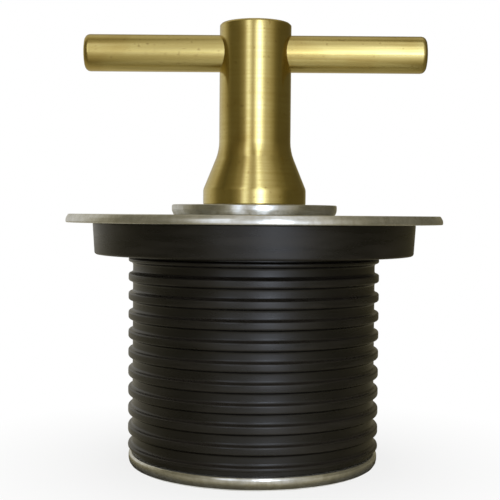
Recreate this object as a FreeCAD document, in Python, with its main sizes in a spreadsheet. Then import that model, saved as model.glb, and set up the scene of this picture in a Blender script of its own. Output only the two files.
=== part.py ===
import FreeCAD, Part
import math
import os
import Sketcher

# Expanding deck drain plug, in millimetres.
# The plug stands on its lower plate: +Z is up and the origin is the middle of that plate's underside.
# Turning the cross handle clockwise draws the bolt and the lower plate up, so that the ribbed rubber
# is squeezed shorter and wider and grips the drain pipe.

# Driving dimensions: alias, value, meaning
SIZES = [
    ("rib_diameter", 75.0, "rubber body over its ribs, for a 3 inch drain"),
    ("groove_pitch", 5.62, "from one groove to the next"),
    ("groove_count", 10, "grooves round the rubber body"),
    ("groove_mouth", 3.2, "height of a groove at the surface"),
    ("groove_floor", 1.9, "height of a groove at its floor"),
    ("groove_depth", 1.6, "depth of a groove"),
    ("flange_diameter", 96.3, "rubber flange at its upper edge"),
    ("flange_draft", 0.6, "how far the flange's wall leans in towards its lower edge"),
    ("flange_height", 9.3, "rubber flange, top to underside"),
    ("flange_edge", 0.5, "broken edges of the flange"),
    ("rubber_clearance", 0.75, "radial play of the bolt in the rubber"),
    ("rim_inset", 0.2, "how far the pan's rim lies inside the ribs"),
    ("rim_height", 4.15, "lower pan, underside to the top of its rim"),
    ("pan_sheet", 2.5, "sheet steel of the lower pan"),
    ("pan_bend", 3.0, "outer bend radius of the pan's lower edge"),
    ("seat_clearance", 0.3, "play of the rubber inside the pan's rim and round its dish"),
    ("dish_room", 5.0, "free width round the bolt head in the dish"),
    ("dish_taper", 2.5, "how far the dish narrows from its mouth to its roof"),
    ("dish_edge", 1.0, "bends of the dish, taken as flats"),
    ("head_recess", 0.8, "how far the bolt head stays above the floor"),
    ("head_diameter", 27.0, "cup head of the draw bolt"),
    ("head_height", 6.0, "cup head of the draw bolt"),
    ("head_rim", 0.8, "plain rim of the cup head"),
    ("neck_width", 12.0, "square neck across its flats"),
    ("neck_play", 0.15, "play on each side of the square neck"),
    ("bolt_diameter", 12.0, "draw bolt, over its thread"),
    ("bolt_point", 1.2, "chamfer on the end of the bolt"),
    ("bolt_clearance", 0.5, "radial play of the bolt in the plate and the washer"),
    ("thread_clearance", 0.05, "radial play of the bolt in the handle's bore"),
    ("pull_travel", 7.0, "four turns of the handle at 1.75 a turn"),
    ("tip_gap", 2.5, "room above the bolt at the end of its travel"),
    ("plate_diameter", 112.0, "upper plate"),
    ("plate_thickness", 2.5, "upper plate"),
    ("plate_edge", 0.4, "broken edge of the upper plate"),
    ("washer_diameter", 49.5, "thrust washer"),
    ("washer_thickness", 3.0, "thrust washer"),
    ("washer_edge", 0.4, "broken edge of the washer"),
    ("foot_diameter", 30.8, "foot of the handle nut"),
    ("foot_height", 4.6, "foot of the handle nut"),
    ("foot_edge", 0.5, "broken lower edge of the foot"),
    ("cone_height", 11.6, "cone between the foot and the barrel"),
    ("cone_blend", 4.0, "rounding where the cone runs into the barrel"),
    ("barrel_diameter", 21.4, "barrel of the handle nut"),
    ("barrel_edge", 0.7, "broken upper edge of the barrel"),
    ("nut_height", 54.1, "handle nut, foot to top"),
    ("bar_below_top", 8.9, "axis of the cross bar below the top of the nut"),
    ("bore_web", 5.7, "from the full bore to the cross bar's hole"),
    ("bore_mouth", 0.9, "chamfer at the mouth of the bore"),
    ("drill_angle", 118.0, "point of the bore, in degrees"),
    ("bar_diameter", 11.0, "cross bar"),
    ("bar_length", 102.0, "cross bar"),
    ("bar_end", 1.6, "chamfer on the bar's ends"),
    ("bar_play", 0.01, "radial play of the pressed-in bar"),
]

# Heights and radii that follow from the driving dimensions
PAN_RADIUS = "(dims.rib_diameter / 2 - dims.rim_inset)"
DISH_RADIUS = "(dims.head_diameter / 2 + dims.dish_room + dims.dish_taper)"
DISH_HEIGHT = "(dims.head_height + dims.head_recess)"
RUBBER_BORE = "(dims.bolt_diameter / 2 + dims.rubber_clearance)"
PLATE_BORE = "(dims.bolt_diameter / 2 + dims.bolt_clearance)"
RIBBED_LENGTH = "(dims.groove_pitch * (dims.groove_count + 1) - dims.groove_mouth)"
PLATE_SEAT = f"(dims.rim_height + {RIBBED_LENGTH} + dims.flange_height)"
WASHER_SEAT = f"({PLATE_SEAT} + dims.plate_thickness)"
NUT_SEAT = f"({WASHER_SEAT} + dims.washer_thickness)"
BAR_HEIGHT = "(dims.nut_height - dims.bar_below_top)"
BORE_DEPTH = f"({BAR_HEIGHT} - dims.bar_diameter / 2 - dims.bore_web)"
BOLT_LENGTH = f"({NUT_SEAT} + {BORE_DEPTH} - dims.pull_travel - dims.tip_gap - {DISH_HEIGHT})"


def make_sheet(doc):
    """Put every driving dimension in a cell of its own."""
    sheet = doc.addObject("Spreadsheet::Sheet", "dims")
    for row, (alias, value, meaning) in enumerate(SIZES, start=1):
        sheet.set(f"A{row}", meaning)
        sheet.set(f"B{row}", str(value))
        sheet.setAlias(f"B{row}", alias)
    doc.recompute()
    return sheet


def size(expression):
    """The present value of an expression on the sheet's cells."""
    return float(dims.evalExpression(expression))


def bind(feature, **expressions):
    """Tie properties of a feature to expressions on the sheet's cells."""
    for name, expression in expressions.items():
        feature.setExpression(name, expression)


def new_body(name, seat="0"):
    """An empty body that stands at the height given by an expression."""
    body = doc.addObject("PartDesign::Body", name)
    body.Label = name
    body.setExpression("Placement.Base.z", seat)
    return body


def origin_feature(body, role):
    """A plane or an axis of the body's own origin."""
    return next(item for item in body.Origin.OriginFeatures if item.Role == role)


def new_sketch(body, plane, name):
    """A sketch on one of the body's own origin planes."""
    sketch = body.newObject("Sketcher::SketchObject", name)
    sketch.AttachmentSupport = [(origin_feature(body, plane), "")]
    sketch.MapMode = "FlatFace"
    return sketch


def pin_point(sketch, curve, point, across, up):
    """Fix one point of a curve at expressions for its distance across and up."""
    for kind, axis, expression in (("DistanceX", -2, across), ("DistanceY", -1, up)):
        if expression == "0":
            sketch.addConstraint(Sketcher.Constraint("PointOnObject", curve, point, axis))
        else:
            distance = Sketcher.Constraint(kind, -1, 1, curve, point, size(expression))
            number = sketch.addConstraint(distance)
            sketch.setExpression(f"Constraints[{number}]", expression)


def draw_outline(sketch, corners, arc_from=None):
    """A closed outline through the corners, each a pair of expressions (across, up).

    The side that starts at corner number arc_from is an arc centred on the upright axis.
    """
    points = [FreeCAD.Vector(size(across), size(up), 0) for across, up in corners]
    ends = points[1:] + points[:1]
    for number, (start, end) in enumerate(zip(points, ends)):
        if number == arc_from:
            sketch.addGeometry(arc_about_axis(start, end))
        else:
            sketch.addGeometry(Part.LineSegment(start, end))
    # A counter-clockwise arc starts at its own point 1, as a line does
    for number in range(len(corners)):
        following = (number + 1) % len(corners)
        sketch.addConstraint(Sketcher.Constraint("Coincident", number, 2, following, 1))
    for number, (across, up) in enumerate(corners):
        pin_point(sketch, number, 1, across, up)
    if arc_from is not None:
        sketch.addConstraint(Sketcher.Constraint("PointOnObject", arc_from, 3, -2))


def arc_about_axis(start, end):
    """The counter-clockwise arc from a point on the upright axis to another point."""
    rise = end.y - start.y
    radius = (end.x ** 2 + rise ** 2) / (2 * rise)
    centre = FreeCAD.Vector(0, start.y + radius, 0)
    first = -math.pi / 2
    last = math.atan2(end.y - centre.y, end.x)
    return Part.ArcOfCircle(Part.Circle(centre, FreeCAD.Vector(0, 0, 1), radius), first, last)


def draw_circle(sketch, radius, up="0"):
    """A circle on the sketch's upright axis, its radius and height given by expressions."""
    centre = FreeCAD.Vector(0, size(up), 0)
    number = sketch.addGeometry(Part.Circle(centre, FreeCAD.Vector(0, 0, 1), size(radius)))
    pin_point(sketch, number, 3, "0", up)
    index = sketch.addConstraint(Sketcher.Constraint("Radius", number, size(radius)))
    sketch.setExpression(f"Constraints[{index}]", radius)


def draw_square(sketch, half_width):
    """A square round the sketch's origin, from an expression for half its width."""
    low = f"-({half_width})"
    draw_outline(sketch, [(low, low), (half_width, low), (half_width, half_width), (low, half_width)])


def turn(body, kind, sketch, name):
    """A full turn of a sketch about the body's upright axis, added or cut away."""
    feature = body.newObject(kind, name)
    feature.Profile = sketch
    feature.ReferenceAxis = (sketch, ["V_Axis"])
    feature.Angle = 360
    doc.recompute()
    return feature


def pad(body, sketch, name, length, both_ways=False):
    """A straight pad of a sketch, its length given by an expression."""
    feature = body.newObject("PartDesign::Pad", name)
    feature.Profile = sketch
    feature.SideType = "Symmetric" if both_ways else "One side"
    bind(feature, Length=length)
    doc.recompute()
    return feature


def cut_through(body, sketch, name):
    """A pocket right through the body, to both sides of the sketch."""
    feature = body.newObject("PartDesign::Pocket", name)
    feature.Profile = sketch
    feature.SideType = "Symmetric"
    feature.Type = "ThroughAll"
    doc.recompute()
    return feature


def ring_edges(shape, rings):
    """Names of the round edges that lie at the given pairs (radius, height) on the axis."""
    names = []
    for number, edge in enumerate(shape.Edges, start=1):
        if edge.Degenerated or not isinstance(edge.Curve, Part.Circle):
            continue
        centre = edge.Curve.Center
        for radius, height in rings:
            on_axis = math.hypot(centre.x, centre.y) < 1e-6
            if on_axis and abs(edge.Curve.Radius - radius) < 1e-4 and abs(centre.z - height) < 1e-4:
                names.append(f"Edge{number}")
    return names


def finish_edges(body, kind, name, amount, rings):
    """A fillet or a chamfer on the round edges at pairs of expressions (radius, height)."""
    doc.recompute()
    base = body.Tip
    wanted = [(size(radius), size(height)) for radius, height in rings]
    edges = ring_edges(base.Shape, wanted)
    if len(edges) < len(rings):
        raise ValueError(f"{name}: found {len(edges)} of {len(rings)} edges")
    feature = body.newObject(f"PartDesign::{kind}", name)
    feature.Base = (base, edges)
    feature.setExpression("Radius" if kind == "Fillet" else "Size", amount)
    doc.recompute()
    return feature


def dish_wall(height):
    """Radius of the inner side of the dish's leaning wall at a height above the floor."""
    return f"({DISH_RADIUS} - dims.dish_taper * {height} / {DISH_HEIGHT})"


def make_lower_pan():
    """Lower plate: pressed steel pan with a turned-up rim and a raised dish for the bolt head."""
    body = new_body("lower_pan")
    inner_wall = f"({PAN_RADIUS} - dims.pan_sheet)"
    roof_top = f"({DISH_HEIGHT} + dims.pan_sheet)"
    section = new_sketch(body, "XZ_Plane", "pan_section")
    draw_outline(section, [
        ("0", DISH_HEIGHT),
        (dish_wall(DISH_HEIGHT), DISH_HEIGHT),
        (dish_wall("0"), "0"),
        (PAN_RADIUS, "0"),
        (PAN_RADIUS, "dims.rim_height"),
        (inner_wall, "dims.rim_height"),
        (inner_wall, "dims.pan_sheet"),
        (dish_wall("dims.pan_sheet") + " + dims.pan_sheet", "dims.pan_sheet"),
        (dish_wall(roof_top) + " + dims.pan_sheet", roof_top),
        ("0", roof_top),
    ])
    turn(body, "PartDesign::Revolution", section, "pan_form")
    finish_edges(body, "Fillet", "rim_bend", "dims.pan_bend", [(PAN_RADIUS, "0")])
    finish_edges(body, "Chamfer", "dish_bends", "dims.dish_edge", [
        (dish_wall("0"), "0"),
        (dish_wall(DISH_HEIGHT), DISH_HEIGHT),
        (dish_wall(roof_top) + " + dims.pan_sheet", roof_top),
    ])
    hole = new_sketch(body, "XY_Plane", "square_hole_outline")
    draw_square(hole, "dims.neck_width / 2 + dims.neck_play")
    cut_through(body, hole, "square_hole")
    return body


def make_draw_bolt():
    """Cup head bolt with a short square neck; its thread's outside is the plain shank."""
    body = new_body("draw_bolt", DISH_HEIGHT)
    head = new_sketch(body, "XZ_Plane", "head_section")
    draw_outline(head, [
        ("0", "-dims.head_height"),
        ("dims.head_diameter / 2", "-dims.head_rim"),
        ("dims.head_diameter / 2", "0"),
        ("0", "0"),
    ], arc_from=0)
    turn(body, "PartDesign::Revolution", head, "cup_head")
    neck = new_sketch(body, "XY_Plane", "neck_outline")
    draw_square(neck, "dims.neck_width / 2")
    pad(body, neck, "square_neck", "dims.pan_sheet")
    shank = new_sketch(body, "XY_Plane", "shank_outline")
    draw_circle(shank, "dims.bolt_diameter / 2")
    pad(body, shank, "shank", BOLT_LENGTH)
    finish_edges(body, "Chamfer", "bolt_end", "dims.bolt_point", [("dims.bolt_diameter / 2", BOLT_LENGTH)])
    return body


def make_rubber_body():
    """Moulded rubber: ribbed plug, flange and bore, with a socket that the pan's dish fits."""
    body = new_body("rubber_body", "dims.pan_sheet")
    step = "(dims.rim_height - dims.pan_sheet)"
    underside = f"({step} + {RIBBED_LENGTH})"
    top = f"({underside} + dims.flange_height)"
    rib_radius = "dims.rib_diameter / 2"
    flange_top = "dims.flange_diameter / 2"
    flange_foot = "(dims.flange_diameter / 2 - dims.flange_draft)"
    dish_side = " + dims.pan_sheet + dims.seat_clearance"
    roof_top = f"({DISH_HEIGHT} + dims.pan_sheet)"
    spigot = f"({PAN_RADIUS} - dims.pan_sheet - dims.seat_clearance)"
    section = new_sketch(body, "XZ_Plane", "rubber_section")
    draw_outline(section, [
        (RUBBER_BORE, DISH_HEIGHT),
        (dish_wall(roof_top) + dish_side, DISH_HEIGHT),
        (dish_wall("dims.pan_sheet") + dish_side, "0"),
        (spigot, "0"),
        (spigot, step),
        (rib_radius, step),
        (rib_radius, underside),
        (flange_foot, underside),
        (flange_top, top),
        (RUBBER_BORE, top),
    ])
    turn(body, "PartDesign::Revolution", section, "rubber_form")
    finish_edges(body, "Chamfer", "flange_edges", "dims.flange_edge", [
        (flange_foot, underside),
        (flange_top, top),
    ])
    cut_grooves(body, step)
    return body


def cut_grooves(body, step):
    """One groove with leaning walls, turned round the body and repeated up its length."""
    rib_radius = "dims.rib_diameter / 2"
    floor_radius = f"({rib_radius} - dims.groove_depth)"
    middle = f"({step} + dims.groove_pitch - dims.groove_mouth / 2)"
    # The cutting outline reaches past the surface by one groove depth, with its walls carried on
    flare = "(dims.groove_mouth - dims.groove_floor)"
    outside = f"({rib_radius} + dims.groove_depth)"
    outlet = f"(dims.groove_mouth / 2 + {flare} / 2)"
    section = new_sketch(body, "XZ_Plane", "groove_section")
    draw_outline(section, [
        (floor_radius, f"{middle} - dims.groove_floor / 2"),
        (outside, f"{middle} - {outlet}"),
        (outside, f"{middle} + {outlet}"),
        (floor_radius, f"{middle} + dims.groove_floor / 2"),
    ])
    before = body.Tip.Shape.Volume
    groove = turn(body, "PartDesign::Groove", section, "groove")
    rows = body.newObject("PartDesign::LinearPattern", "grooves")
    rows.Originals = [groove]
    rows.Direction = (section, ["V_Axis"])
    bind(rows, Length="dims.groove_pitch * (dims.groove_count - 1)", Occurrences="dims.groove_count")
    body.Tip = rows
    doc.recompute()
    if not rows.Shape.Volume < groove.Shape.Volume < before:
        raise ValueError("the grooves cut nothing")


def make_disc(name, seat, diameter, thickness, edge):
    """A flat round plate with a clearance hole for the bolt and broken edges."""
    body = new_body(name, seat)
    outline = new_sketch(body, "XY_Plane", name + "_outline")
    draw_circle(outline, f"{diameter} / 2")
    draw_circle(outline, PLATE_BORE)
    pad(body, outline, name + "_disc", thickness)
    rings = [(f"{diameter} / 2", "0"), (f"{diameter} / 2", thickness)]
    finish_edges(body, "Chamfer", name + "_edges", edge, rings)
    return body


def make_handle_nut():
    """Turned brass nut: foot, cone and barrel, bored from below and drilled across."""
    body = new_body("handle_nut", NUT_SEAT)
    foot_radius = "dims.foot_diameter / 2"
    barrel_radius = "dims.barrel_diameter / 2"
    cone_top = "(dims.foot_height + dims.cone_height)"
    bore_radius = "(dims.bolt_diameter / 2 + dims.thread_clearance)"
    section = new_sketch(body, "XZ_Plane", "nut_section")
    draw_outline(section, [
        ("0", "0"),
        (foot_radius, "0"),
        (foot_radius, "dims.foot_height"),
        (barrel_radius, cone_top),
        (barrel_radius, "dims.nut_height"),
        ("0", "dims.nut_height"),
    ])
    turn(body, "PartDesign::Revolution", section, "nut_form")
    finish_edges(body, "Fillet", "cone_blend", "dims.cone_blend", [(barrel_radius, cone_top)])
    finish_edges(body, "Chamfer", "foot_edge", "dims.foot_edge", [(foot_radius, "0")])
    finish_edges(body, "Chamfer", "barrel_edge", "dims.barrel_edge", [(barrel_radius, "dims.nut_height")])
    cut_bore(body, bore_radius)
    finish_edges(body, "Chamfer", "bore_mouth", "dims.bore_mouth", [(bore_radius, "0")])
    across = new_sketch(body, "YZ_Plane", "cross_hole_outline")
    draw_circle(across, "dims.bar_diameter / 2 + dims.bar_play", BAR_HEIGHT)
    cut_through(body, across, "cross_hole")
    return body


def cut_bore(body, bore_radius):
    """Blind bore for the bolt, drilled upwards from the foot and ending in a drill point."""
    mouth = new_sketch(body, "XY_Plane", "bore_circle")
    draw_circle(mouth, bore_radius)
    doc.recompute()
    before = body.Tip.Shape.Volume
    bore = body.newObject("PartDesign::Hole", "bore")
    bore.Profile = mouth
    bore.Reversed = True
    bore.DepthType = "Dimension"
    bore.DrillPoint = "Angled"
    bind(bore, Diameter=f"2 * {bore_radius}", Depth=BORE_DEPTH, DrillPointAngle="dims.drill_angle")
    doc.recompute()
    full_bore = math.pi * size(bore_radius) ** 2 * size(BORE_DEPTH)
    if before - bore.Shape.Volume < full_bore:
        raise ValueError("the bore doesn't reach its depth")


def make_cross_bar():
    """Round brass bar pressed through the barrel, with chamfered ends."""
    body = new_body("cross_bar", f"{NUT_SEAT} + {BAR_HEIGHT}")
    circle = new_sketch(body, "YZ_Plane", "bar_circle")
    draw_circle(circle, "dims.bar_diameter / 2")
    bar = pad(body, circle, "bar", "dims.bar_length", both_ways=True)
    ends = [f"Edge{number}" for number, edge in enumerate(bar.Shape.Edges, start=1)
            if isinstance(edge.Curve, Part.Circle)]
    chamfer = body.newObject("PartDesign::Chamfer", "bar_ends")
    chamfer.Base = (bar, ends)
    bind(chamfer, Size="dims.bar_end")
    doc.recompute()
    return body


def check(parts):
    """Stop if a feature failed or a part isn't one sound solid."""
    for item in doc.Objects:
        if "Invalid" in item.State or "Error" in item.State:
            raise ValueError(f"{item.Name} failed: {item.State}")
    for body in parts:
        shape = body.Shape
        if shape.isNull() or not shape.isValid() or len(shape.Solids) != 1:
            raise ValueError(f"{body.Label} isn't one sound solid")


def write(parts):
    """Write each part as a STEP file named after it."""
    os.makedirs("parts", exist_ok=True)
    for body in parts:
        body.Shape.exportStep(f"parts/{body.Label}.step")
        box = body.Shape.BoundBox
        print(f"{body.Label}: {body.Shape.Volume:.0f} mm3, z {box.ZMin:.2f} to {box.ZMax:.2f}, "
              f"x {box.XMin:.2f} to {box.XMax:.2f}")


doc = FreeCAD.newDocument("drain_plug")
dims = make_sheet(doc)
PARTS = [
    make_lower_pan(),
    make_draw_bolt(),
    make_rubber_body(),
    make_disc("upper_plate", PLATE_SEAT, "dims.plate_diameter", "dims.plate_thickness", "dims.plate_edge"),
    make_disc("thrust_washer", WASHER_SEAT, "dims.washer_diameter", "dims.washer_thickness",
              "dims.washer_edge"),
    make_handle_nut(),
    make_cross_bar(),
]
doc.recompute()
check(PARTS)
write(PARTS)
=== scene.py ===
# %% [markdown]
# # Expanding deck drain plug
# A plug that is pushed into the mouth of a drain pipe. Turning its brass cross handle draws a bolt
# and a steel pan upwards, which squeezes the ribbed rubber between the pan and the upper plate
# until it grips the pipe. This lesson dresses the exact CAD model of the plug: each CAD piece is
# replaced by a finer one of the same size, and gets the finish of the real material.
#
# The frame holds the CAD pieces at their places. Everything here is in metres, in the same frame,
# so a new piece needs no fitting.

# %% Load the CAD frame
import math

import bmesh
import bpy
from mathutils import Matrix, Vector


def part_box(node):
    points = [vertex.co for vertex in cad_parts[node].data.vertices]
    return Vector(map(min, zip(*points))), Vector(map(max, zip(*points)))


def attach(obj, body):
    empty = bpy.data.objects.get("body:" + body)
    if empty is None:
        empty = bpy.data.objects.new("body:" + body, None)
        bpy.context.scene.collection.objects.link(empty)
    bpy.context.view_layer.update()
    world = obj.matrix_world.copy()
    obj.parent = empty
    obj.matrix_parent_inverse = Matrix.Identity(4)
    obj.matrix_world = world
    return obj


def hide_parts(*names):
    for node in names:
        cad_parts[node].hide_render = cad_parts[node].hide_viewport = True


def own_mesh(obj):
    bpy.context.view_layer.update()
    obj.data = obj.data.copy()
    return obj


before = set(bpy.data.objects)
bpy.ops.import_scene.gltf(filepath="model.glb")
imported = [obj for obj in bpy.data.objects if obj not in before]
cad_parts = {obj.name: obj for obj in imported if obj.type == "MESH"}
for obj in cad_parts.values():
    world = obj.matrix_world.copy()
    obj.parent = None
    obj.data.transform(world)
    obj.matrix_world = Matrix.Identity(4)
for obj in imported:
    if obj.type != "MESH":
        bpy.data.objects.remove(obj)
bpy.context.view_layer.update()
MM = 0.001
print("CAD pieces:", ", ".join(sorted(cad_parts)))

# %% [markdown]
# ## Camera
# The camera is set first, because everything that follows is judged through it. The real plug was
# photographed from close by, level with its upper plate: the edges below that height curve
# downwards and the top of the handle curves upwards. A short distance gives those curves, so it is
# set from the picture, and the focal length then gives the size. The camera is turned a little
# about its own line of sight, because the plug leans slightly in the picture.

# %% Set the camera
CAMERA_PLACE = Vector((-1.2, -320.0, 74.6)) * MM
CAMERA_PITCH = 1.89     # degrees below level
CAMERA_ROLL = 0.45      # degrees, which leans the plug to the right
FOCAL_LENGTH = 76.5     # mm, on the usual 36 mm wide sensor

scene = bpy.context.scene
camera_data = bpy.data.cameras.new("camera")
camera_data.lens = FOCAL_LENGTH
camera_data.clip_start = 0.01
camera = bpy.data.objects.new("camera", camera_data)
scene.collection.objects.link(camera)
level_to_south = Matrix.Rotation(math.radians(90 - CAMERA_PITCH), 4, "X")
camera.matrix_world = (Matrix.Translation(CAMERA_PLACE) @ level_to_south
                       @ Matrix.Rotation(math.radians(CAMERA_ROLL), 4, "Z"))
scene.camera = camera
scene.view_settings.view_transform = "Standard"
print("camera", round(-CAMERA_PLACE.y / MM), "mm in front of the axis")

# %% [markdown]
# ## Round pieces
# Almost every piece of this plug is round: pressed, turned on a lathe or moulded in a round mould.
# They could be made from cylinders and cones, but then each rounded edge needs its own work.
# A lathe shows the shorter way. One half of the cross-section is drawn as a chain of edges, its
# corners are rounded with a vertex bevel, and spin turns the chain round the upright axis.
#
# Large flat faces next to small rounded ones shade badly when every corner averages its faces. The
# Weighted Normal modifier lets the large faces win, so flats stay flat and the edges stay soft.

# %% Helpers for round pieces
FULL_TURN = 2 * math.pi
SPIN_STEPS = 160        # faces round a piece, fine enough for a smooth outline
SMALL_STEPS = 96        # enough for small or plain round things
EDGE_SEGMENTS = 4       # faces across a rounded edge
SAME_PLACE = 0.0005     # mm, points closer than this are one point
SHARP_ANGLE = math.radians(40)


def draw_chain(bm, corners, closed):
    """A chain of edges through corners (radius, height, rounding), in millimetres."""
    points = [bm.verts.new((radius * MM, 0, height * MM)) for radius, height, _ in corners]
    for start, end in zip(points, points[1:]):
        bm.edges.new((start, end))
    if closed:
        bm.edges.new((points[-1], points[0]))
    for point, (_, _, rounding) in zip(points, corners):
        if rounding:
            bmesh.ops.bevel(bm, geom=[point], offset=rounding * MM, offset_type="OFFSET",
                            affect="VERTICES", segments=EDGE_SEGMENTS, profile=0.5, material=-1)


def spin_chain(bm, steps=SPIN_STEPS):
    """Turn everything drawn so far once about the upright axis into a closed surface."""
    bmesh.ops.spin(bm, geom=bm.verts[:] + bm.edges[:], cent=(0, 0, 0), axis=(0, 0, 1),
                   angle=FULL_TURN, steps=steps, use_merge=True)
    bmesh.ops.remove_doubles(bm, verts=bm.verts, dist=SAME_PLACE * MM)
    bmesh.ops.recalc_face_normals(bm, faces=bm.faces)


def finished(name, bm):
    """An object from a bmesh, shaded smooth except across sharp edges."""
    mesh = bpy.data.meshes.new(name)
    bm.to_mesh(mesh)
    bm.free()
    piece = bpy.data.objects.new(name, mesh)
    scene.collection.objects.link(piece)
    shade(piece)
    print(f"{name}: {len(mesh.polygons)} faces")
    return piece


def shade(piece):
    """Smooth shading that keeps sharp edges and lets large faces set the normals."""
    piece.data.shade_smooth()
    piece.data.set_sharp_from_angle(angle=SHARP_ANGLE)
    if not piece.modifiers:
        normals = piece.modifiers.new("weighted_normals", "WEIGHTED_NORMAL")
        normals.keep_sharp = True


def turned(name, corners, closed=False, steps=SPIN_STEPS):
    """A round piece spun from half of its cross-section."""
    bm = bmesh.new()
    draw_chain(bm, corners, closed)
    spin_chain(bm, steps)
    return finished(name, bm)


# %% [markdown]
# The CAD pieces give the heights at which they meet, so a change in the CAD model carries over.

# %% Helper for sizes of the CAD pieces
X, Z = 0, 2


def span(piece_name, direction=Z):
    """Lowest and highest place of a CAD piece along a direction, in millimetres."""
    low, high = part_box(piece_name)
    return low[direction] / MM, high[direction] / MM


# %% [markdown]
# A hole that crosses a round piece can't be spun. It is drilled as in the workshop: a cutter of the
# hole's shape is taken away with a Boolean, and the result becomes the piece's own mesh.

# %% Helper for drilling
def drill(piece, cutter):
    """Take the cutter's shape out of the piece for good."""
    cut = piece.modifiers.new("cut", "BOOLEAN")
    cut.operation = "DIFFERENCE"
    cut.solver = "EXACT"
    cut.object = cutter
    piece.modifiers.move(piece.modifiers.find("cut"), 0)
    piece.modifiers["weighted_normals"].show_viewport = False
    drilled = bpy.data.meshes.new_from_object(
        piece.evaluated_get(bpy.context.evaluated_depsgraph_get()))
    piece.modifiers.remove(cut)
    piece.modifiers["weighted_normals"].show_viewport = True
    piece.data = drilled
    bpy.data.objects.remove(cutter)
    shade(piece)
    print(f"{piece.name}: {len(drilled.polygons)} faces after drilling")


# %% [markdown]
# ## Lower pan
# The pan closes the rubber from below. It is pressed from 2.5 mm sheet: its rim is turned up round
# the foot of the rubber, and a dish in its middle hides the bolt's head, so that the plug can
# stand. The same half-section as in the CAD model is drawn again, with the rounded bends that
# pressing leaves. A square hole in the dish keeps the bolt from turning.

# %% Make the lower pan
PAN_RADIUS = 37.3
PAN_RIM = 4.15          # height of the turned-up rim
PAN_SHEET = 2.5
DISH_MOUTH = 21.0       # radius of the dish at the floor
DISH_ROOF = 18.5        # radius of the dish under its roof
DISH_HEIGHT = 6.8
NECK_HOLE = 12.3        # square hole, across its flats

dish_slope = (DISH_MOUTH - DISH_ROOF) / DISH_HEIGHT
floor_meets_dish = DISH_MOUTH + PAN_SHEET - dish_slope * PAN_SHEET
roof_edge = DISH_ROOF + PAN_SHEET - dish_slope * PAN_SHEET
pan = turned("pressed_pan", [
    (0, DISH_HEIGHT, 0),
    (DISH_ROOF, DISH_HEIGHT, 1.2),
    (DISH_MOUTH, 0, 1.2),
    (PAN_RADIUS, 0, 2.2),
    (PAN_RADIUS, PAN_RIM, 1.0),
    (PAN_RADIUS - PAN_SHEET, PAN_RIM, 0.35),
    (PAN_RADIUS - PAN_SHEET, PAN_SHEET, 0.6),
    (floor_meets_dish, PAN_SHEET, 0.8),
    (roof_edge, DISH_HEIGHT + PAN_SHEET, 1.2),
    (0, DISH_HEIGHT + PAN_SHEET, 0),
])

punch_mesh = bmesh.new()
bmesh.ops.create_cube(punch_mesh, size=NECK_HOLE * MM)
bmesh.ops.translate(punch_mesh, verts=punch_mesh.verts, vec=(0, 0, DISH_HEIGHT * MM))
drill(pan, finished("punch", punch_mesh))
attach(pan, "draw_bolt")
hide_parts("lower_pan")

# %% [markdown]
# ## Draw bolt
# A cup head bolt runs up the middle of the plug into the handle. It is hidden, apart from its
# domed head under the pan. The dome is an arc: one vertex on the axis, spun about a level line
# through the dome's centre, draws it, and a second spin about the axis makes it round.
# The square neck is a cube whose upright edges are left sharp, as forging leaves them.

# %% Make the bolt's head, neck and shank
HEAD_RADIUS = 13.5
HEAD_LOW = 0.8          # the head stays this far above the floor
HEAD_RIM = 0.8
NECK_WIDTH = 12.0
BOLT_RADIUS = 6.0
BOLT_TOP = span("draw_bolt")[1]
NECK_CORE = 5.5         # radius of the core inside the square neck
THREAD_LOW = 66.0       # where the thread begins
THREAD_OVERLAP = 1.0    # how far the plain shank reaches into the thread
ARC_STEPS = 12          # faces from the middle of the dome to its rim

dome_rise = DISH_HEIGHT - HEAD_RIM - HEAD_LOW
dome_radius = (HEAD_RADIUS ** 2 + dome_rise ** 2) / (2 * dome_rise)
dome_angle = math.asin(HEAD_RADIUS / dome_radius)
bolt_mesh = bmesh.new()
pole = bolt_mesh.verts.new((0, 0, HEAD_LOW * MM))
bmesh.ops.spin(bolt_mesh, geom=[pole], cent=(0, 0, (HEAD_LOW + dome_radius) * MM),
               axis=(0, -1, 0), angle=dome_angle, steps=ARC_STEPS)
last_point = max(bolt_mesh.verts, key=lambda vertex: vertex.co.x)
neck_top = DISH_HEIGHT + PAN_SHEET
shank_top = THREAD_LOW + THREAD_OVERLAP
for radius, height in ((HEAD_RADIUS, DISH_HEIGHT), (NECK_CORE, DISH_HEIGHT), (NECK_CORE, neck_top),
                       (BOLT_RADIUS, neck_top), (BOLT_RADIUS, shank_top), (0, shank_top)):
    next_point = bolt_mesh.verts.new((radius * MM, 0, height * MM))
    bolt_mesh.edges.new((last_point, next_point))
    last_point = next_point
spin_chain(bolt_mesh, SMALL_STEPS)
neck = bmesh.ops.create_cube(bolt_mesh, size=1.0)
bmesh.ops.scale(bolt_mesh, verts=neck["verts"],
                vec=(NECK_WIDTH * MM, NECK_WIDTH * MM, PAN_SHEET * MM))
bmesh.ops.translate(bolt_mesh, verts=neck["verts"],
                    vec=(0, 0, (DISH_HEIGHT + PAN_SHEET / 2) * MM))

# %% [markdown]
# The thread is a screw surface. Spin makes one when each step also lifts the section a little: the
# section here is one pitch of the 60 degree thread, so that each turn meets the one below. Both
# ends are cut level and closed.

# %% Add the thread
THREAD_PITCH = 1.75     # M12 coarse thread
THREAD_CREST = 5.95
THREAD_ROOT = 5.0
ROOT_FLAT = 0.22        # height of the flat between two ridges
FLANK = 0.58            # height of each leaning side of a ridge
THREAD_STEPS = 40       # faces in one turn

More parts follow.
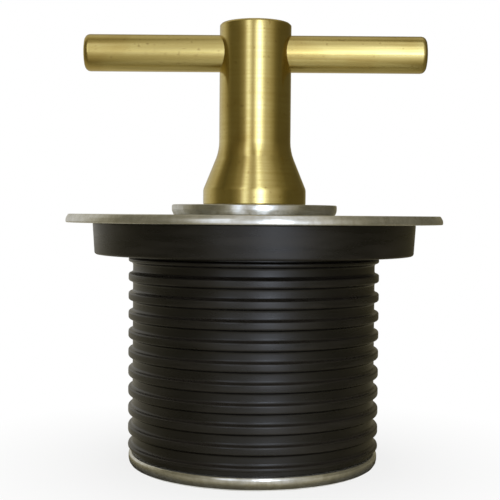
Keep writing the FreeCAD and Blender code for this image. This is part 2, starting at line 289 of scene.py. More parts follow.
thread_mesh = bmesh.new()
start_height = THREAD_LOW - THREAD_PITCH
section = [(THREAD_ROOT, 0), (THREAD_ROOT, ROOT_FLAT), (THREAD_CREST, ROOT_FLAT + FLANK),
           (THREAD_CREST, THREAD_PITCH - FLANK), (THREAD_ROOT, THREAD_PITCH)]
points = [thread_mesh.verts.new((radius * MM, 0, (start_height + height) * MM))
          for radius, height in section]
for start, end in zip(points, points[1:]):
    thread_mesh.edges.new((start, end))
thread_turns = math.ceil((BOLT_TOP - THREAD_LOW) / THREAD_PITCH) + 2
bmesh.ops.spin(thread_mesh, geom=thread_mesh.verts[:] + thread_mesh.edges[:], cent=(0, 0, 0),
               axis=(0, 0, 1), dvec=(0, 0, THREAD_PITCH * MM / THREAD_STEPS),
               angle=FULL_TURN * thread_turns, steps=THREAD_STEPS * thread_turns)
bmesh.ops.remove_doubles(thread_mesh, verts=thread_mesh.verts, dist=SAME_PLACE * MM)
for height, side in ((THREAD_LOW, {"clear_inner": True}), (BOLT_TOP, {"clear_outer": True})):
    everything = thread_mesh.verts[:] + thread_mesh.edges[:] + thread_mesh.faces[:]
    cut = bmesh.ops.bisect_plane(thread_mesh, geom=everything, plane_co=(0, 0, height * MM),
                                 plane_no=(0, 0, 1), **side)
    cut_edges = [item for item in cut["geom_cut"] if isinstance(item, bmesh.types.BMEdge)]
    bmesh.ops.edgeloop_fill(thread_mesh, edges=cut_edges)
bmesh.ops.recalc_face_normals(thread_mesh, faces=thread_mesh.faces)
thread_part = bpy.data.meshes.new("thread")
thread_mesh.to_mesh(thread_part)
thread_mesh.free()
bolt_mesh.from_mesh(thread_part)
bpy.data.meshes.remove(thread_part)
bolt = finished("cup_head_bolt", bolt_mesh)
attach(bolt, "draw_bolt")
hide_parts("draw_bolt")

# %% [markdown]
# ## Rubber body
# The rubber is one moulding: a plain flange above a ribbed cylinder, bored for the bolt, with a
# socket below for the pan's dish. The ten grooves are the feature to get right. They could be cut
# with Booleans, but as the piece is spun anyway, a loop adds the four corners of each groove to
# the half-section. Both walls of a groove lean a little, so that the moulding comes out of its
# mould. A relief, which is half a groove, ends the ribs at the pan and at the flange, and gives
# the rubber room to bulge there.

# %% Make the rubber body
RIB_RADIUS = 37.5
GROOVE_PITCH = 5.62
GROOVE_COUNT = 10
GROOVE_MOUTH = 3.5      # height of a groove at the surface
GROOVE_RADIUS = 36.2    # radius of its floor
FIRST_GROOVE = 2.42     # height of the first groove's lower edge above the pan's rim
WALL_LEAN = 0.4         # how much each wall leans from the surface to the floor
RIB_ROUNDING = 0.4
ROOT_ROUNDING = 0.6
END_RIB = 1.0           # height of the narrow rib next to each relief
RELIEF_LEAN = 0.1
FLANGE_FOOT = 47.55     # radius of the flange at its lower edge
FLANGE_TOP = 48.15      # radius of the flange at its upper edge
FLANGE_HEIGHT = 9.3
RUBBER_TOP = span("upper_plate")[0]
FLANGE_LOW = RUBBER_TOP - FLANGE_HEIGHT
BORE_RADIUS = 6.75
SOCKET_PLAY = 0.3
SOCKET_SPARE = 0.6      # how much deeper the socket is than the dish
SPIGOT_RADIUS = PAN_RADIUS - PAN_SHEET - SOCKET_PLAY
SPIGOT_LOW = PAN_SHEET + 0.05   # the spigot rests on the pan's sheet

socket_roof = neck_top + SOCKET_SPARE
first_rib = PAN_RIM + FIRST_GROOVE - END_RIB
corners = [
    (BORE_RADIUS, socket_roof, 0.4),
    (roof_edge + SOCKET_PLAY, socket_roof, 0.8),
    (floor_meets_dish + SOCKET_PLAY, SPIGOT_LOW, 0.5),
    (SPIGOT_RADIUS, SPIGOT_LOW, 0.5),
    (SPIGOT_RADIUS, PAN_RIM, 0.3),
    (GROOVE_RADIUS, PAN_RIM, 0.1),
    (GROOVE_RADIUS, first_rib - RELIEF_LEAN, 0.3),
    (RIB_RADIUS, first_rib, 0.3),
]
for number in range(GROOVE_COUNT):
    groove_low = PAN_RIM + FIRST_GROOVE + GROOVE_PITCH * number
    groove_high = groove_low + GROOVE_MOUTH
    corners += [
        (RIB_RADIUS, groove_low, RIB_ROUNDING),
        (GROOVE_RADIUS, groove_low + WALL_LEAN, ROOT_ROUNDING),
        (GROOVE_RADIUS, groove_high - WALL_LEAN, ROOT_ROUNDING),
        (RIB_RADIUS, groove_high, RIB_ROUNDING),
    ]
corners += [
    (RIB_RADIUS, groove_high + END_RIB, 0.3),
    (GROOVE_RADIUS, groove_high + END_RIB + RELIEF_LEAN, 0.3),
    (GROOVE_RADIUS, FLANGE_LOW, 0.3),
    (FLANGE_FOOT, FLANGE_LOW, 0.7),
    (FLANGE_TOP, RUBBER_TOP, 0.5),
    (BORE_RADIUS, RUBBER_TOP, 0.4),
]
rubber = turned("ribbed_rubber", corners, closed=True)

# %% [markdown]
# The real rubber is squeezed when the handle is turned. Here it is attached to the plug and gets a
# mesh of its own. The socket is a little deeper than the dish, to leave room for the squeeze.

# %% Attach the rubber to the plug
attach(rubber, "plug")
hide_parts("rubber_body")
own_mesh(rubber)

# %% [markdown]
# ## Upper plate and washer
# Both are plain discs of steel sheet, and differ only in the corners of their rims: the plate has a
# slight bevel above, where it would catch on a foot, and the washer has one below. The wide plate
# rests on the deck round the drain, and the thick washer lets the brass nut turn on it.

# %% Make the plate and the washer
PLATE_RADIUS = 56.0
PLATE_BEVEL = (0.75, 1.3)       # how far it reaches in and down
WASHER_RADIUS = 24.75
WASHER_BEVEL = (0.5, 1.15)      # how far it reaches in and up
BOLT_HOLE = 6.5                 # radius of the hole in both
WASHER_LOW, NUT_LOW = span("thrust_washer")


def stamped_disc(name, cad_piece, rim):
    """A flat disc with a hole. Its rim is a chain of corners, from the lower face to the upper."""
    lower_face, upper_face = rim[0][1], rim[-1][1]
    disc = turned(name, [(BOLT_HOLE, lower_face, 0.2), *rim, (BOLT_HOLE, upper_face, 0.4)],
                  closed=True)
    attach(disc, "plug")
    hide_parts(cad_piece)
    return disc


plate = stamped_disc("cover_plate", "upper_plate", [
    (PLATE_RADIUS, RUBBER_TOP, 0.35),
    (PLATE_RADIUS, WASHER_LOW - PLATE_BEVEL[1], 0.45),
    (PLATE_RADIUS - PLATE_BEVEL[0], WASHER_LOW, 0.3),
])
washer = stamped_disc("flat_washer", "thrust_washer", [
    (WASHER_RADIUS - WASHER_BEVEL[0], WASHER_LOW, 0.25),
    (WASHER_RADIUS, WASHER_LOW + WASHER_BEVEL[1], 0.45),
    (WASHER_RADIUS, NUT_LOW, 0.45),
])

# %% [markdown]
# ## Handle nut
# The nut is turned from brass bar: a foot, a cone that runs into the barrel with a soft bend, and
# a barrel. It has a blind bore from below for the bolt. A hole across the barrel takes the handle,
# and it is drilled with a cutter as wide as the handle.

# %% Turn and drill the nut
FOOT_RADIUS = 15.4
FOOT_HIGH = NUT_LOW + 4.6
CONE_HIGH = NUT_LOW + 16.2
BARREL_RADIUS = 10.7
TOP_BEVEL = 0.6
NUT_TOP = span("handle_nut")[1]
NUT_BORE = 6.05
BORE_MOUTH = 0.9        # bevel that leads the bolt in
BORE_WEB = 5.7          # metal left between the bore and the hole for the bar
DRILL_POINT = 3.6       # height of the cone that the drill leaves
BAR_RADIUS = 5.5
BAR_HEIGHT = span("cross_bar")[1] - BAR_RADIUS
BORE_END = BAR_HEIGHT - BAR_RADIUS - BORE_WEB
HANDLE_HOLE = 5.51
NUT_STEPS = 256         # polished metal shows facets sooner than rubber does

nut = turned("turned_nut", [
    (0, BORE_END + DRILL_POINT, 0),
    (NUT_BORE, BORE_END, 0),
    (NUT_BORE, NUT_LOW + BORE_MOUTH, 0),
    (NUT_BORE + BORE_MOUTH, NUT_LOW, 0),
    (FOOT_RADIUS, NUT_LOW, 0.5),
    (FOOT_RADIUS, FOOT_HIGH, 0.5),
    (BARREL_RADIUS, CONE_HIGH, 2.5),
    (BARREL_RADIUS, BAR_HEIGHT - BAR_RADIUS - 2, 0),    # rings just below and above the hole
    (BARREL_RADIUS, BAR_HEIGHT + BAR_RADIUS + 1, 0),    # keep the faces elsewhere regular
    (BARREL_RADIUS, NUT_TOP - TOP_BEVEL, 0.15),
    (BARREL_RADIUS - TOP_BEVEL, NUT_TOP, 0.15),
    (0, NUT_TOP, 0),
], steps=NUT_STEPS)

cutter_mesh = bmesh.new()
lay_level = Matrix.Translation((0, 0, BAR_HEIGHT * MM)) @ Matrix.Rotation(math.radians(90), 4, "Y")
bmesh.ops.create_cone(cutter_mesh, cap_ends=True, segments=SMALL_STEPS, radius1=HANDLE_HOLE * MM,
                      radius2=HANDLE_HOLE * MM, depth=4 * BARREL_RADIUS * MM, matrix=lay_level)
drill(nut, finished("cutter", cutter_mesh))
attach(nut, "handle")
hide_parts("handle_nut")

# %% [markdown]
# ## Cross bar
# A round bar with rounded ends, pressed through the nut. It is spun like the others, about the
# upright axis. The matrix that laid the cutter level in the nut then lays the bar in the same
# place, all in its mesh.

# %% Make the cross bar
BAR_LENGTH = 2 * span("cross_bar", X)[1]
BAR_END = 1.6           # rounding of the ends

bar_mesh = bmesh.new()
draw_chain(bar_mesh, [
    (0, -BAR_LENGTH / 2, 0),
    (BAR_RADIUS, -BAR_LENGTH / 2, BAR_END),
    (BAR_RADIUS, BAR_LENGTH / 2, BAR_END),
    (0, BAR_LENGTH / 2, 0),
], closed=False)
spin_chain(bar_mesh, SMALL_STEPS)
bmesh.ops.transform(bar_mesh, matrix=lay_level, verts=bar_mesh.verts)
bar = finished("round_bar", bar_mesh)
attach(bar, "handle")
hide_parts("cross_bar")

# %% [markdown]
# ## Materials
# Every finish is a node tree: a Principled shader with patterns for its colour, its roughness and
# its bump. Patterns read Object coordinates, which are metres here, so a pattern's scale is one
# over its size in metres. One function adds a node with its settings and its links, and one turns
# a colour's hex code into the linear values that the shader works with.

# %% Helpers for materials
def linear(hex_code):
    """Linear RGBA from an sRGB hex code such as #C0A060."""
    shares = [int(hex_code[start:start + 2], 16) / 255 for start in (1, 3, 5)]
    return (*[share / 12.92 if share <= 0.04045 else ((share + 0.055) / 1.055) ** 2.4
              for share in shares], 1.0)


def node(tree, kind, inputs=None, **settings):
    """Add a node, set its properties, and set or link its inputs by name or number.

    An input takes a constant, a colour's hex code, an output of another node, or that node
    itself, which stands for its first output in use.
    """
    made = tree.nodes.new(kind)
    for name, value in settings.items():
        setattr(made, name, value)
    for socket, value in (inputs or {}).items():
        if isinstance(value, bpy.types.Node):
            value = next(output for output in value.outputs if output.enabled)
        if isinstance(value, bpy.types.NodeSocket):
            tree.links.new(value, made.inputs[socket])
        else:
            made.inputs[socket].default_value = linear(value) if isinstance(value, str) else value
    return made


def new_material(name):
    """An empty material and its node tree."""
    made = bpy.data.materials.new(name)
    made.use_nodes = True
    made.node_tree.nodes.clear()
    return made, made.node_tree


def wear(piece, made):
    """Give a piece its one material."""
    piece.data.materials.clear()
    piece.data.materials.append(made)
    print(f"{piece.name} wears {made.name}, {len(made.node_tree.nodes)} nodes")


# %% [markdown]
# Most patterns are noise, which is laid over the piece by a Mapping node: its scale gives the
# real size of the spots, and its location keeps two patterns from lining up. A Mix node then
# blends two colours by such a pattern. It has sockets of the same name for every kind of data,
# so its sockets are known by their numbers.

# %% Numbers for patterns and mixes
SHARE = 0
FIRST_VALUE, SECOND_VALUE = 2, 3
FIRST_COLOUR, SECOND_COLOUR = 6, 7


def spots(size, stretch=(1, 1, 1)):
    """Scale of a pattern with spots about size millimetres wide, drawn out by stretch."""
    return [1 / (share * size * MM) for share in stretch]


# %% [markdown]
# ### Turned brass
# The nut is free-machining brass, left as the lathe left it. Fine tool marks run round it. They
# are about 0.1 mm apart on the real nut, too fine to show, so they are drawn 0.5 mm apart. They
# spread every reflection up and down, which makes the tall narrow streak on the barrel: the
# shader's anisotropy does that, with its direction taken round the axis. Handling has left the
# brass slightly browner in places.

# %% Make the turned brass
def brass(name, stretch, tangent_axis, rough_low, rough_high, anisotropic):
    """Brass with marks drawn out along the directions in stretch."""
    made, tree = new_material(name)
    place = node(tree, "ShaderNodeTexCoord").outputs["Object"]
    moved = node(tree, "ShaderNodeMapping", {"Vector": place, "Scale": spots(0.5, stretch)})
    marks = node(tree, "ShaderNodeTexNoise", {"Vector": moved, "Scale": 1.0, "Detail": 4.0})
    moved = node(tree, "ShaderNodeMapping",
                 {"Vector": place, "Location": (3, 3, 3), "Scale": spots(14.0)})
    stains = node(tree, "ShaderNodeTexNoise", {"Vector": moved, "Scale": 1.0, "Detail": 5.0})
    moved = node(tree, "ShaderNodeMapping",
                 {"Vector": place, "Location": (7, 7, 7), "Scale": spots(1.2)})
    specks = node(tree, "ShaderNodeTexNoise", {"Vector": moved, "Scale": 1.0, "Detail": 2.0})

    share = node(tree, "ShaderNodeMapRange", {"Value": marks, "From Min": 0.3, "From Max": 0.7})
    clean = node(tree, "ShaderNodeMix",
                 {SHARE: share, FIRST_COLOUR: "#DFCD88", SECOND_COLOUR: "#D6C27A"},
                 data_type="RGBA")
    share = node(tree, "ShaderNodeMapRange",
                 {"Value": stains, "From Min": 0.5, "From Max": 0.75, "To Max": 0.55})
    stained = node(tree, "ShaderNodeMix",
                   {SHARE: share, FIRST_COLOUR: clean, SECOND_COLOUR: "#BE9E50"},
                   data_type="RGBA")
    share = node(tree, "ShaderNodeMapRange",
                 {"Value": specks, "From Min": 0.66, "From Max": 0.72, "To Max": 0.35})
    colour = node(tree, "ShaderNodeMix",
                  {SHARE: share, FIRST_COLOUR: stained, SECOND_COLOUR: "#967638"},
                  data_type="RGBA")

    roughness = node(tree, "ShaderNodeMapRange", {
        "Value": marks, "From Min": 0.25, "From Max": 0.75,
        "To Min": rough_low, "To Max": rough_high})
    relief = node(tree, "ShaderNodeBump",
                  {"Height": marks, "Distance": 0.012 * MM, "Strength": 0.5})
    tangent = node(tree, "ShaderNodeTangent", direction_type="RADIAL", axis=tangent_axis)
    metal = node(tree, "ShaderNodeBsdfPrincipled", {
        "Base Color": colour, "Roughness": roughness, "Normal": relief, "Metallic": 1.0,
        "Anisotropic": anisotropic, "Anisotropic Rotation": 0.25, "Tangent": tangent})
    node(tree, "ShaderNodeOutputMaterial", {"Surface": metal})
    return made


wear(nut, brass("turned_brass", (40, 40, 1), "Z", 0.11, 0.18, 0.5))

# %% [markdown]
# ### Drawn brass
# The bar is drawn stock: its marks run along it, and it was never polished, so it is duller than
# the nut.

# %% Make the drawn brass
wear(bar, brass("drawn_brass", (40, 1, 1), "X", 0.19, 0.28, 0.3))

# %% [markdown]
# ### Plated and polished steel
# The plates and the bolt are mild steel with a thin grey zinc coating. Zinc grows in patches,
# dulls unevenly and takes on a faint warm film, so the colour and the roughness change from patch
# to patch, in spots of 2 to 10 mm. The film hides a little of the metal, which keeps it from
# turning black where it reflects something dark. The washer has no coating: it is polished, and
# so a little darker and smoother. Both are slightly dented, which breaks up their reflections.

# %% Make the steels
def steel(name, light, dark, film, rough_low, rough_high):
    """Light and dark patches under a thin film, on metal with shallow dents."""
    made, tree = new_material(name)
    place = node(tree, "ShaderNodeTexCoord").outputs["Object"]
    moved = node(tree, "ShaderNodeMapping",
                 {"Vector": place, "Location": (11, 11, 11), "Scale": spots(9.0)})
    patches = node(tree, "ShaderNodeTexNoise", {"Vector": moved, "Scale": 1.0, "Detail": 4.0})
    moved = node(tree, "ShaderNodeMapping",
                 {"Vector": place, "Location": (5, 5, 5), "Scale": spots(1.6)})
    grains = node(tree, "ShaderNodeTexNoise", {"Vector": moved, "Scale": 1.0, "Detail": 3.0})
    moved = node(tree, "ShaderNodeMapping",
                 {"Vector": place, "Location": (21, 21, 21), "Scale": spots(6.0)})
    dents = node(tree, "ShaderNodeTexNoise", {"Vector": moved, "Scale": 1.0, "Detail": 1.0})

    share = node(tree, "ShaderNodeMapRange",
                 {"Value": patches, "From Min": 0.35, "From Max": 0.65})
    bare = node(tree, "ShaderNodeMix", {SHARE: share, FIRST_COLOUR: light, SECOND_COLOUR: dark},
                data_type="RGBA")
    share = node(tree, "ShaderNodeMapRange",
                 {"Value": grains, "From Min": 0.4, "From Max": 0.75, "To Max": 0.5})
    colour = node(tree, "ShaderNodeMix", {SHARE: share, FIRST_COLOUR: bare, SECOND_COLOUR: film},
                  data_type="RGBA")

    roughness = node(tree, "ShaderNodeMapRange", {
        "Value": patches, "From Min": 0.3, "From Max": 0.7,
        "To Min": rough_low, "To Max": rough_high})
    relief = node(tree, "ShaderNodeBump",
                  {"Height": grains, "Distance": 0.03 * MM, "Strength": 0.5})
    relief = node(tree, "ShaderNodeBump",
                  {"Height": dents, "Distance": 0.2 * MM, "Strength": 0.7, "Normal": relief})
    metal = node(tree, "ShaderNodeBsdfPrincipled", {
        "Base Color": colour, "Roughness": roughness, "Normal": relief, "Metallic": 0.93})
    node(tree, "ShaderNodeOutputMaterial", {"Surface": metal})
    return made


for piece in (plate, pan, bolt):
    wear(piece, steel(f"zinc_on_{piece.name}", "#EAEAE6", "#D0D0CA", "#BAB6A4", 0.16, 0.27))
wear(washer, steel("polished_steel", "#DCDCD8", "#C4C4BE", "#ACA898", 0.12, 0.20))

# %% [markdown]
# ### Black rubber
# Moulded nitrile rubber, matt, with a very fine grain from the mould. A real grain of about 0.1 mm
# is too fine to show, so it is drawn 0.45 mm wide. Handling leaves a film of pale dust on the
# ribs, which stand out: their distance from the axis tells them apart. Painted light is added on
# what faces up, in the grooves too: the surface's own direction tells that, and it is lightened
# with the same pale colour, as light from above would.

# %% Make the black rubber
def black_rubber(name):
    """Matt black rubber with dust on what stands out and painted light on what faces up."""
    made, tree = new_material(name)
    place = node(tree, "ShaderNodeTexCoord").outputs["Object"]
    moved = node(tree, "ShaderNodeMapping",
                 {"Vector": place, "Location": (2, 2, 2), "Scale": spots(16.0)})
    clouds = node(tree, "ShaderNodeTexNoise", {"Vector": moved, "Scale": 1.0, "Detail": 4.0})
    moved = node(tree, "ShaderNodeMapping",
                 {"Vector": place, "Location": (9, 9, 9), "Scale": spots(0.45)})
    grain = node(tree, "ShaderNodeTexNoise", {"Vector": moved, "Scale": 1.0, "Detail": 2.0})
    moved = node(tree, "ShaderNodeMapping",
                 {"Vector": place, "Location": (4, 4, 4), "Scale": spots(2.5, (8, 8, 1))})
    smears = node(tree, "ShaderNodeTexNoise", {"Vector": moved, "Scale": 1.0, "Detail": 4.0})

    flat_place = node(tree, "ShaderNodeVectorMath", {0: place, 1: (1, 1, 0)}, operation="MULTIPLY")
    radius = node(tree, "ShaderNodeVectorMath", {0: flat_place}, operation="LENGTH")
    standing_out = node(tree, "ShaderNodeMapRange", {
        "Value": radius, "From Min": (RIB_RADIUS - 0.6) * MM, "From Max": RIB_RADIUS * MM})
    smeared = node(tree, "ShaderNodeMapRange",
                   {"Value": smears, "From Min": 0.4, "From Max": 0.75, "To Max": 0.25})
    handled = node(tree, "ShaderNodeMath", {0: standing_out, 1: smeared}, operation="MULTIPLY")
    # Painted light: what faces up is lightened, as light from above would light it.
    facing = node(tree, "ShaderNodeNewGeometry").outputs["Normal"]
    upward = node(tree, "ShaderNodeSeparateXYZ", {0: facing}).outputs["Z"]
    painted_top_light = node(tree, "ShaderNodeMapRange",
                   {"Value": upward, "From Min": 0.3, "From Max": 0.9, "To Max": 0.35})
    dust_and_painted_light = node(tree, "ShaderNodeMath", {0: handled, 1: painted_top_light}, operation="MAXIMUM")

    share = node(tree, "ShaderNodeMapRange", {"Value": clouds, "From Min": 0.35, "From Max": 0.65})
    black = node(tree, "ShaderNodeMix",
                 {SHARE: share, FIRST_COLOUR: "#0D0C0B", SECOND_COLOUR: "#141210"},
                 data_type="RGBA")
    # The pale colour is real dust where the ribs stand out and painted light where the surface
    # faces up.
    colour = node(tree, "ShaderNodeMix",
                  {SHARE: dust_and_painted_light, FIRST_COLOUR: black, SECOND_COLOUR: "#3A352E"},
                  data_type="RGBA")
    roughness = node(tree, "ShaderNodeMapRange", {
        "Value": smears, "From Min": 0.3, "From Max": 0.7, "To Min": 0.24, "To Max": 0.34})
    relief = node(tree, "ShaderNodeBump",
                  {"Height": grain, "Distance": 0.02 * MM, "Strength": 0.6})
    relief = node(tree, "ShaderNodeBump",
                  {"Height": clouds, "Distance": 0.25 * MM, "Strength": 0.3, "Normal": relief})
    moulded = node(tree, "ShaderNodeBsdfPrincipled", {
        "Base Color": colour, "Roughness": roughness, "Normal": relief, "IOR": 1.5})
    node(tree, "ShaderNodeOutputMaterial", {"Surface": moulded})
    return made


wear(rubber, black_rubber("moulded_black_rubber"))

# %% [markdown]
# ## Floor and background
# The plug stands on a plain white floor that has no visible end. The floor takes part of its
# brightness from light and part from emission, so a soft shadow stays under the plug. Further out
# the emission takes over, until the floor is as white as the background behind it.
# The emission is seen by the camera and in reflections only, so it adds no light to the object.

# %% Helper for what only the camera and reflections see
def seen_directly(tree):
    """1 for camera, glossy and transmission rays, and 0 for the rays that light the object."""
    rays = node(tree, "ShaderNodeLightPath").outputs
    seen = rays["Is Camera Ray"]
    for ray in ("Is Glossy Ray", "Is Transmission Ray"):
        seen = node(tree, "ShaderNodeMath", {0: seen, 1: rays[ray]}, operation="MAXIMUM")
    return seen


# %% Make the floor
FLOOR_RADIUS = 6.0      # metres, as the next two
SHADOW_NEAR = 0.04      # distance from the axis at which the shadow is kept in full
SHADOW_FAR = 0.11       # and at which it has faded out
LIT_SHARE = 0.24        # share of the floor's brightness that comes from light

floor_mesh = bmesh.new()
bmesh.ops.create_circle(floor_mesh, cap_ends=True, segments=SMALL_STEPS, radius=FLOOR_RADIUS)
floor = finished("floor", floor_mesh)
floor.modifiers.clear()
floor_material, tree = new_material("white_floor")
place = node(tree, "ShaderNodeTexCoord").outputs["Object"]
distance = node(tree, "ShaderNodeVectorMath", {0: place}, operation="LENGTH")
glow_share = node(tree, "ShaderNodeMapRange", {
    "Value": distance, "From Min": SHADOW_NEAR, "From Max": SHADOW_FAR, "To Min": 1 - LIT_SHARE})
share = node(tree, "ShaderNodeMath", {0: glow_share, 1: seen_directly(tree)}, operation="MULTIPLY")
lit = node(tree, "ShaderNodeBsdfDiffuse", {"Color": "#F0F0EE"})
glow = node(tree, "ShaderNodeEmission", {"Color": "#FFFFFF", "Strength": 1.0})
surface = node(tree, "ShaderNodeMixShader", {0: share, 1: lit, 2: glow})
node(tree, "ShaderNodeOutputMaterial", {"Surface": surface})
wear(floor, floor_material)

# %% [markdown]
# The background is plain white where it is seen, directly or in a reflection. The light that it
# sheds on the plug from all sides has a level of its own.

# %% Make the background
SKY_LEVEL = 0.85        # strength of the light that comes from all sides

world = bpy.data.worlds.new("studio")
world.use_nodes = True
scene.world = world
tree = world.node_tree
tree.nodes.clear()
strength = node(tree, "ShaderNodeMapRange", {"Value": seen_directly(tree), "To Min": SKY_LEVEL})
white = node(tree, "ShaderNodeBackground", {"Color": "#FFFFFF", "Strength": strength})
node(tree, "ShaderNodeOutputWorld", {"Surface": white})
print("background set, all-round light", SKY_LEVEL)

# %% [markdown]
# ## Light
# Two soft boxes light what is matt: a key light just to the right of the camera and a dimmer one
# above. Polished metal shows its surroundings instead, and those are made in the next step, so
# reflections leave the boxes out.

# %% Set the lamps
AIM_HEIGHT = 80         # mm, the height that the lamps face


def soft_box(name, azimuth, elevation, distance, width, height, level):
    """A soft box that faces the plug's middle. Level is how bright its face looks, 1 is white."""
    lamp = bpy.data.lights.new(name, "AREA")
    lamp.shape = "RECTANGLE"
    lamp.size, lamp.size_y = width, height
    lamp.energy = level * math.pi * width * height
    box = bpy.data.objects.new(name, lamp)
    scene.collection.objects.link(box)
    turn, lift = math.radians(azimuth), math.radians(elevation)
    aim = Vector((0, 0, AIM_HEIGHT * MM))
    away = Vector((math.sin(turn) * math.cos(lift), -math.cos(turn) * math.cos(lift),
                   math.sin(lift)))
    box.location = aim + away * distance
    box.rotation_euler = away.to_track_quat("Z", "Y").to_euler()
    box.visible_glossy = False
    print(f"{name}: {azimuth} degrees round, {elevation} degrees up, level {level}")


soft_box("key_light", azimuth=17, elevation=10, distance=0.9, width=0.40, height=0.50, level=1.4)
soft_box("top_light", azimuth=0, elevation=58, distance=0.9, width=0.7, height=0.4, level=0.6)

# %% [markdown]
# ### Surroundings for the reflections
# A dome round the plug holds what the brass and the steel reflect: a wide soft box to the right of
# the camera, a narrow one to the left of it, dark walls at the sides and a paler one behind the
# plug. A ring on the floor does the same for what faces slightly down, such as the rubber seen
# from above. Only reflections see them, so they neither light nor shade the plug. Both are spun
# from a few vertices, like the plug's own pieces.

# %% Make the dome and the floor ring
DOME_RADIUS = 1300      # mm, as the others here
DOME_STEPS = 24
RING_START = 36.6       # distance from the axis, under the pan's rounded edge
RING_HEIGHT = 0.5       # above the floor


def surroundings(name, bm):
    """A stage object that only reflections see, spun from what is drawn."""
    spin_chain(bm, SMALL_STEPS)
    stage = finished(name, bm)
    stage.modifiers.clear()
    stage.visible_camera = stage.visible_diffuse = stage.visible_shadow = False
    stage.visible_transmission = False
    return stage


dome_mesh = bmesh.new()
dome_foot = dome_mesh.verts.new((DOME_RADIUS * MM, 0, RING_HEIGHT * MM))
bmesh.ops.spin(dome_mesh, geom=[dome_foot], cent=(0, 0, RING_HEIGHT * MM), axis=(0, -1, 0),
               angle=math.radians(90), steps=DOME_STEPS)
dome = surroundings("reflection_dome", dome_mesh)
ring_mesh = bmesh.new()
ring_ends = [ring_mesh.verts.new((radius * MM, 0, RING_HEIGHT * MM))
             for radius in (RING_START, DOME_RADIUS)]
ring_mesh.edges.new(ring_ends)
ring = surroundings("reflection_ring", ring_mesh)

# %% [markdown]
# The levels follow the compass angle: each is a chain of stops, in degrees from the camera's side,
# positive to the right, with a level where 1 is white. A colour ramp holds such a chain. It can't
# hold more than 1, so it holds shares of the brightest level. Where a point lies follows from its
# Object coordinates.

# %% Helpers for levels
BRIGHTEST = 4.4


def stage_place(tree):
    """Compass angle, rise above level and distance from the axis of a point on a stage object."""
    place = node(tree, "ShaderNodeTexCoord").outputs["Object"]
    parts = node(tree, "ShaderNodeSeparateXYZ", {0: place}).outputs
    forward = node(tree, "ShaderNodeMath", {0: parts["Y"], 1: -1.0}, operation="MULTIPLY")
    angle = node(tree, "ShaderNodeMath", {0: parts["X"], 1: forward}, operation="ARCTAN2")
    flat_place = node(tree, "ShaderNodeVectorMath", {0: place, 1: (1, 1, 0)}, operation="MULTIPLY")
    distance = node(tree, "ShaderNodeVectorMath", {0: flat_place}, operation="LENGTH")
    rise = node(tree, "ShaderNodeMath", {0: parts["Z"], 1: distance}, operation="ARCTAN2")
    return angle, rise, distance


def levels(tree, angle, stops):
    """Levels by compass angle, as shares of the brightest."""
    turn = node(tree, "ShaderNodeMapRange",
                {"Value": angle, "From Min": -math.pi, "From Max": math.pi})
    chain = node(tree, "ShaderNodeValToRGB", {0: turn})
    elements = chain.color_ramp.elements
    for number, (degrees, level) in enumerate(stops):
        stop = elements[number] if number < 2 else elements.new((degrees + 180) / 360)
        stop.position = (degrees + 180) / 360
        stop.color = (*[level / BRIGHTEST] * 3, 1)
    return chain


# %% [markdown]
# Dark places are tinted a little warm and lamps a little cool, as they are in a room.

# %% Helper for the glow
WARM, COOL = "#FFEFB2", "#E8F0FF"       # tints of what is dark and of what is bright
WARM_UNTIL, PLAIN_FROM = 0.12, 0.7      # levels between which the warm tint fades out
PLAIN_UNTIL, COOL_FROM = 0.8, 1.6       # and the cool one sets in


def light_up(tree, level):
    """Let a stage object glow at a level, warm where it is dark and cool where it is bright."""
    tint = WARM
    for low, high, next_tint in ((WARM_UNTIL, PLAIN_FROM, "#FFFFFF"),
                                 (PLAIN_UNTIL, COOL_FROM, COOL)):
        share = node(tree, "ShaderNodeMapRange", {
            "Value": level, "From Min": low / BRIGHTEST, "From Max": high / BRIGHTEST})
        tint = node(tree, "ShaderNodeMix",
                    {SHARE: share, FIRST_COLOUR: tint, SECOND_COLOUR: next_tint},
                    data_type="RGBA")
    strength = node(tree, "ShaderNodeMath", {0: level, 1: BRIGHTEST}, operation="MULTIPLY")
    light = node(tree, "ShaderNodeEmission", {"Color": tint, "Strength": strength})
    node(tree, "ShaderNodeOutputMaterial", {"Surface": light})


# %% [markdown]
# The dome has one chain for eye level, one for half-way up and one for the ceiling. They blend into
# one another by the rise above level.

# %% Give the dome its levels
EYE_LEVEL = [
    (-180, 0.40), (-150, 0.60), (-135, 0.60), (-118, 0.54), (-104, 0.36), (-92, 0.18),
    (-80, 0.13), (-52, 0.13), (-40, 0.24), (-32, 0.42), (-26, 1.00), (-21, 1.70), (-15, 1.00),
    (-10, 0.60), (-5, 0.64), (0, 1.50), (6, 2.90), (10, 4.40), (16, 4.40), (21, 2.30), (27, 1.20),
    (33, 0.66), (46, 0.48), (56, 0.32), (68, 0.15), (80, 0.10), (140, 0.10), (160, 0.20),
    (180, 0.40),
]
HALF_WAY_UP = [
    (-180, 0.25), (-150, 0.45), (-118, 0.50), (-102, 0.18), (-85, 0.10), (-60, 0.17),
    (-38, 0.40), (-31, 0.90), (-26, 1.80), (-21, 1.70), (-15, 0.80), (-7, 0.43), (0, 0.52),
    (5, 1.20), (9, 2.40), (14, 2.40), (19, 1.30), (25, 0.82), (31, 0.62), (48, 0.46), (66, 0.24),
    (90, 0.12), (140, 0.10), (180, 0.25),
]
CEILING = [
    (-180, 0.50), (-150, 0.48), (-120, 0.40), (-70, 0.22), (-40, 0.22), (-26, 0.30),
    (-10, 0.60), (10, 0.68), (24, 0.85), (34, 0.95), (46, 0.60), (65, 0.25), (95, 0.16),
    (125, 0.34), (150, 0.43), (180, 0.50),
]
HIGH_FROM, HIGH_FULL = 8, 34            # degrees above level
CEILING_FROM, CEILING_FULL = 43, 58

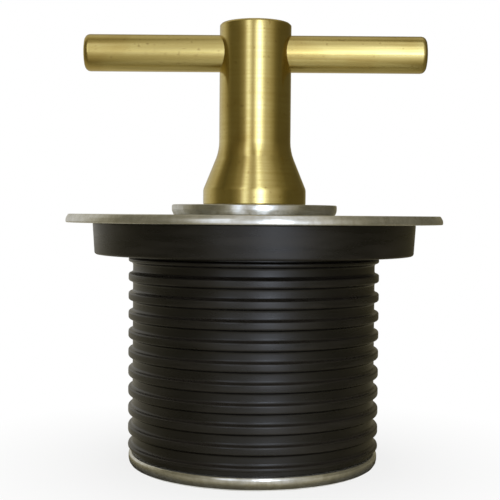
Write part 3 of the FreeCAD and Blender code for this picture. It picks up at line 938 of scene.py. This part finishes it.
dome_material, tree = new_material("dome_levels")
angle, rise, distance = stage_place(tree)
high_up = node(tree, "ShaderNodeMapRange", {
    "Value": rise, "From Min": math.radians(HIGH_FROM), "From Max": math.radians(HIGH_FULL)})
overhead = node(tree, "ShaderNodeMapRange", {
    "Value": rise, "From Min": math.radians(CEILING_FROM), "From Max": math.radians(CEILING_FULL)})
walls = node(tree, "ShaderNodeMix", {
    SHARE: high_up, FIRST_VALUE: levels(tree, angle, EYE_LEVEL),
    SECOND_VALUE: levels(tree, angle, HALF_WAY_UP)})
light_up(tree, node(tree, "ShaderNodeMix", {
    SHARE: overhead, FIRST_VALUE: walls, SECOND_VALUE: levels(tree, angle, CEILING)}))
wear(dome, dome_material)

# %% [markdown]
# The ring has one chain for close to the plug and one for further away; the near one is dimmer,
# a painted shadow of the plug on the floor. Right beside the pan it is nearly dark: a painted
# contact shadow, as a floor has under an object's edge.

# %% Give the ring its levels
FAR_FLOOR = [
    (-180, 0.50), (-150, 0.40), (-120, 0.26), (-85, 0.15), (-45, 0.13), (-34, 0.20),
    (-22, 0.45), (-10, 0.60), (0, 0.90), (6, 1.10), (12, 1.50), (18, 1.60), (28, 0.90),
    (40, 0.42), (55, 0.20), (70, 0.12), (150, 0.12), (180, 0.50),
]
# Close to the plug the levels are lower: painted shadow of the plug on the floor.
NEAR_FLOOR_PAINTED_SHADE = [
    (-180, 0.50), (-120, 0.40), (-85, 0.28), (-60, 0.15), (-41, 0.20), (-27, 0.38), (-12, 0.45),
    (2, 0.52), (17, 0.64), (32, 0.42), (48, 0.26), (64, 0.16), (120, 0.18), (180, 0.50),
]
NEAR_RADIUS, FAR_RADIUS = 120, 430      # mm
# Painted contact shadow: right beside the pan the ring's level is cut down to a small share.
PAINTED_SHADOW_DARKEST, PAINTED_SHADOW_ENDS = 37.5, 46   # mm, where the floor is darkened by the pan above it
CONTACT_SHADOW_SHARE = 0.12                    # how much of its level is left there

ring_material, tree = new_material("ring_levels")
angle, rise, distance = stage_place(tree)
far_off = node(tree, "ShaderNodeMapRange", {
    "Value": distance, "From Min": NEAR_RADIUS * MM, "From Max": FAR_RADIUS * MM})
open_floor = node(tree, "ShaderNodeMix", {
    SHARE: far_off, FIRST_VALUE: levels(tree, angle, NEAR_FLOOR_PAINTED_SHADE),
    SECOND_VALUE: levels(tree, angle, FAR_FLOOR)})
painted_contact_shadow = node(tree, "ShaderNodeMapRange", {
    "Value": distance, "From Min": PAINTED_SHADOW_DARKEST * MM, "From Max": PAINTED_SHADOW_ENDS * MM,
    "To Min": CONTACT_SHADOW_SHARE})
light_up(tree, node(tree, "ShaderNodeMath", {0: open_floor, 1: painted_contact_shadow}, operation="MULTIPLY"))
wear(ring, ring_material)
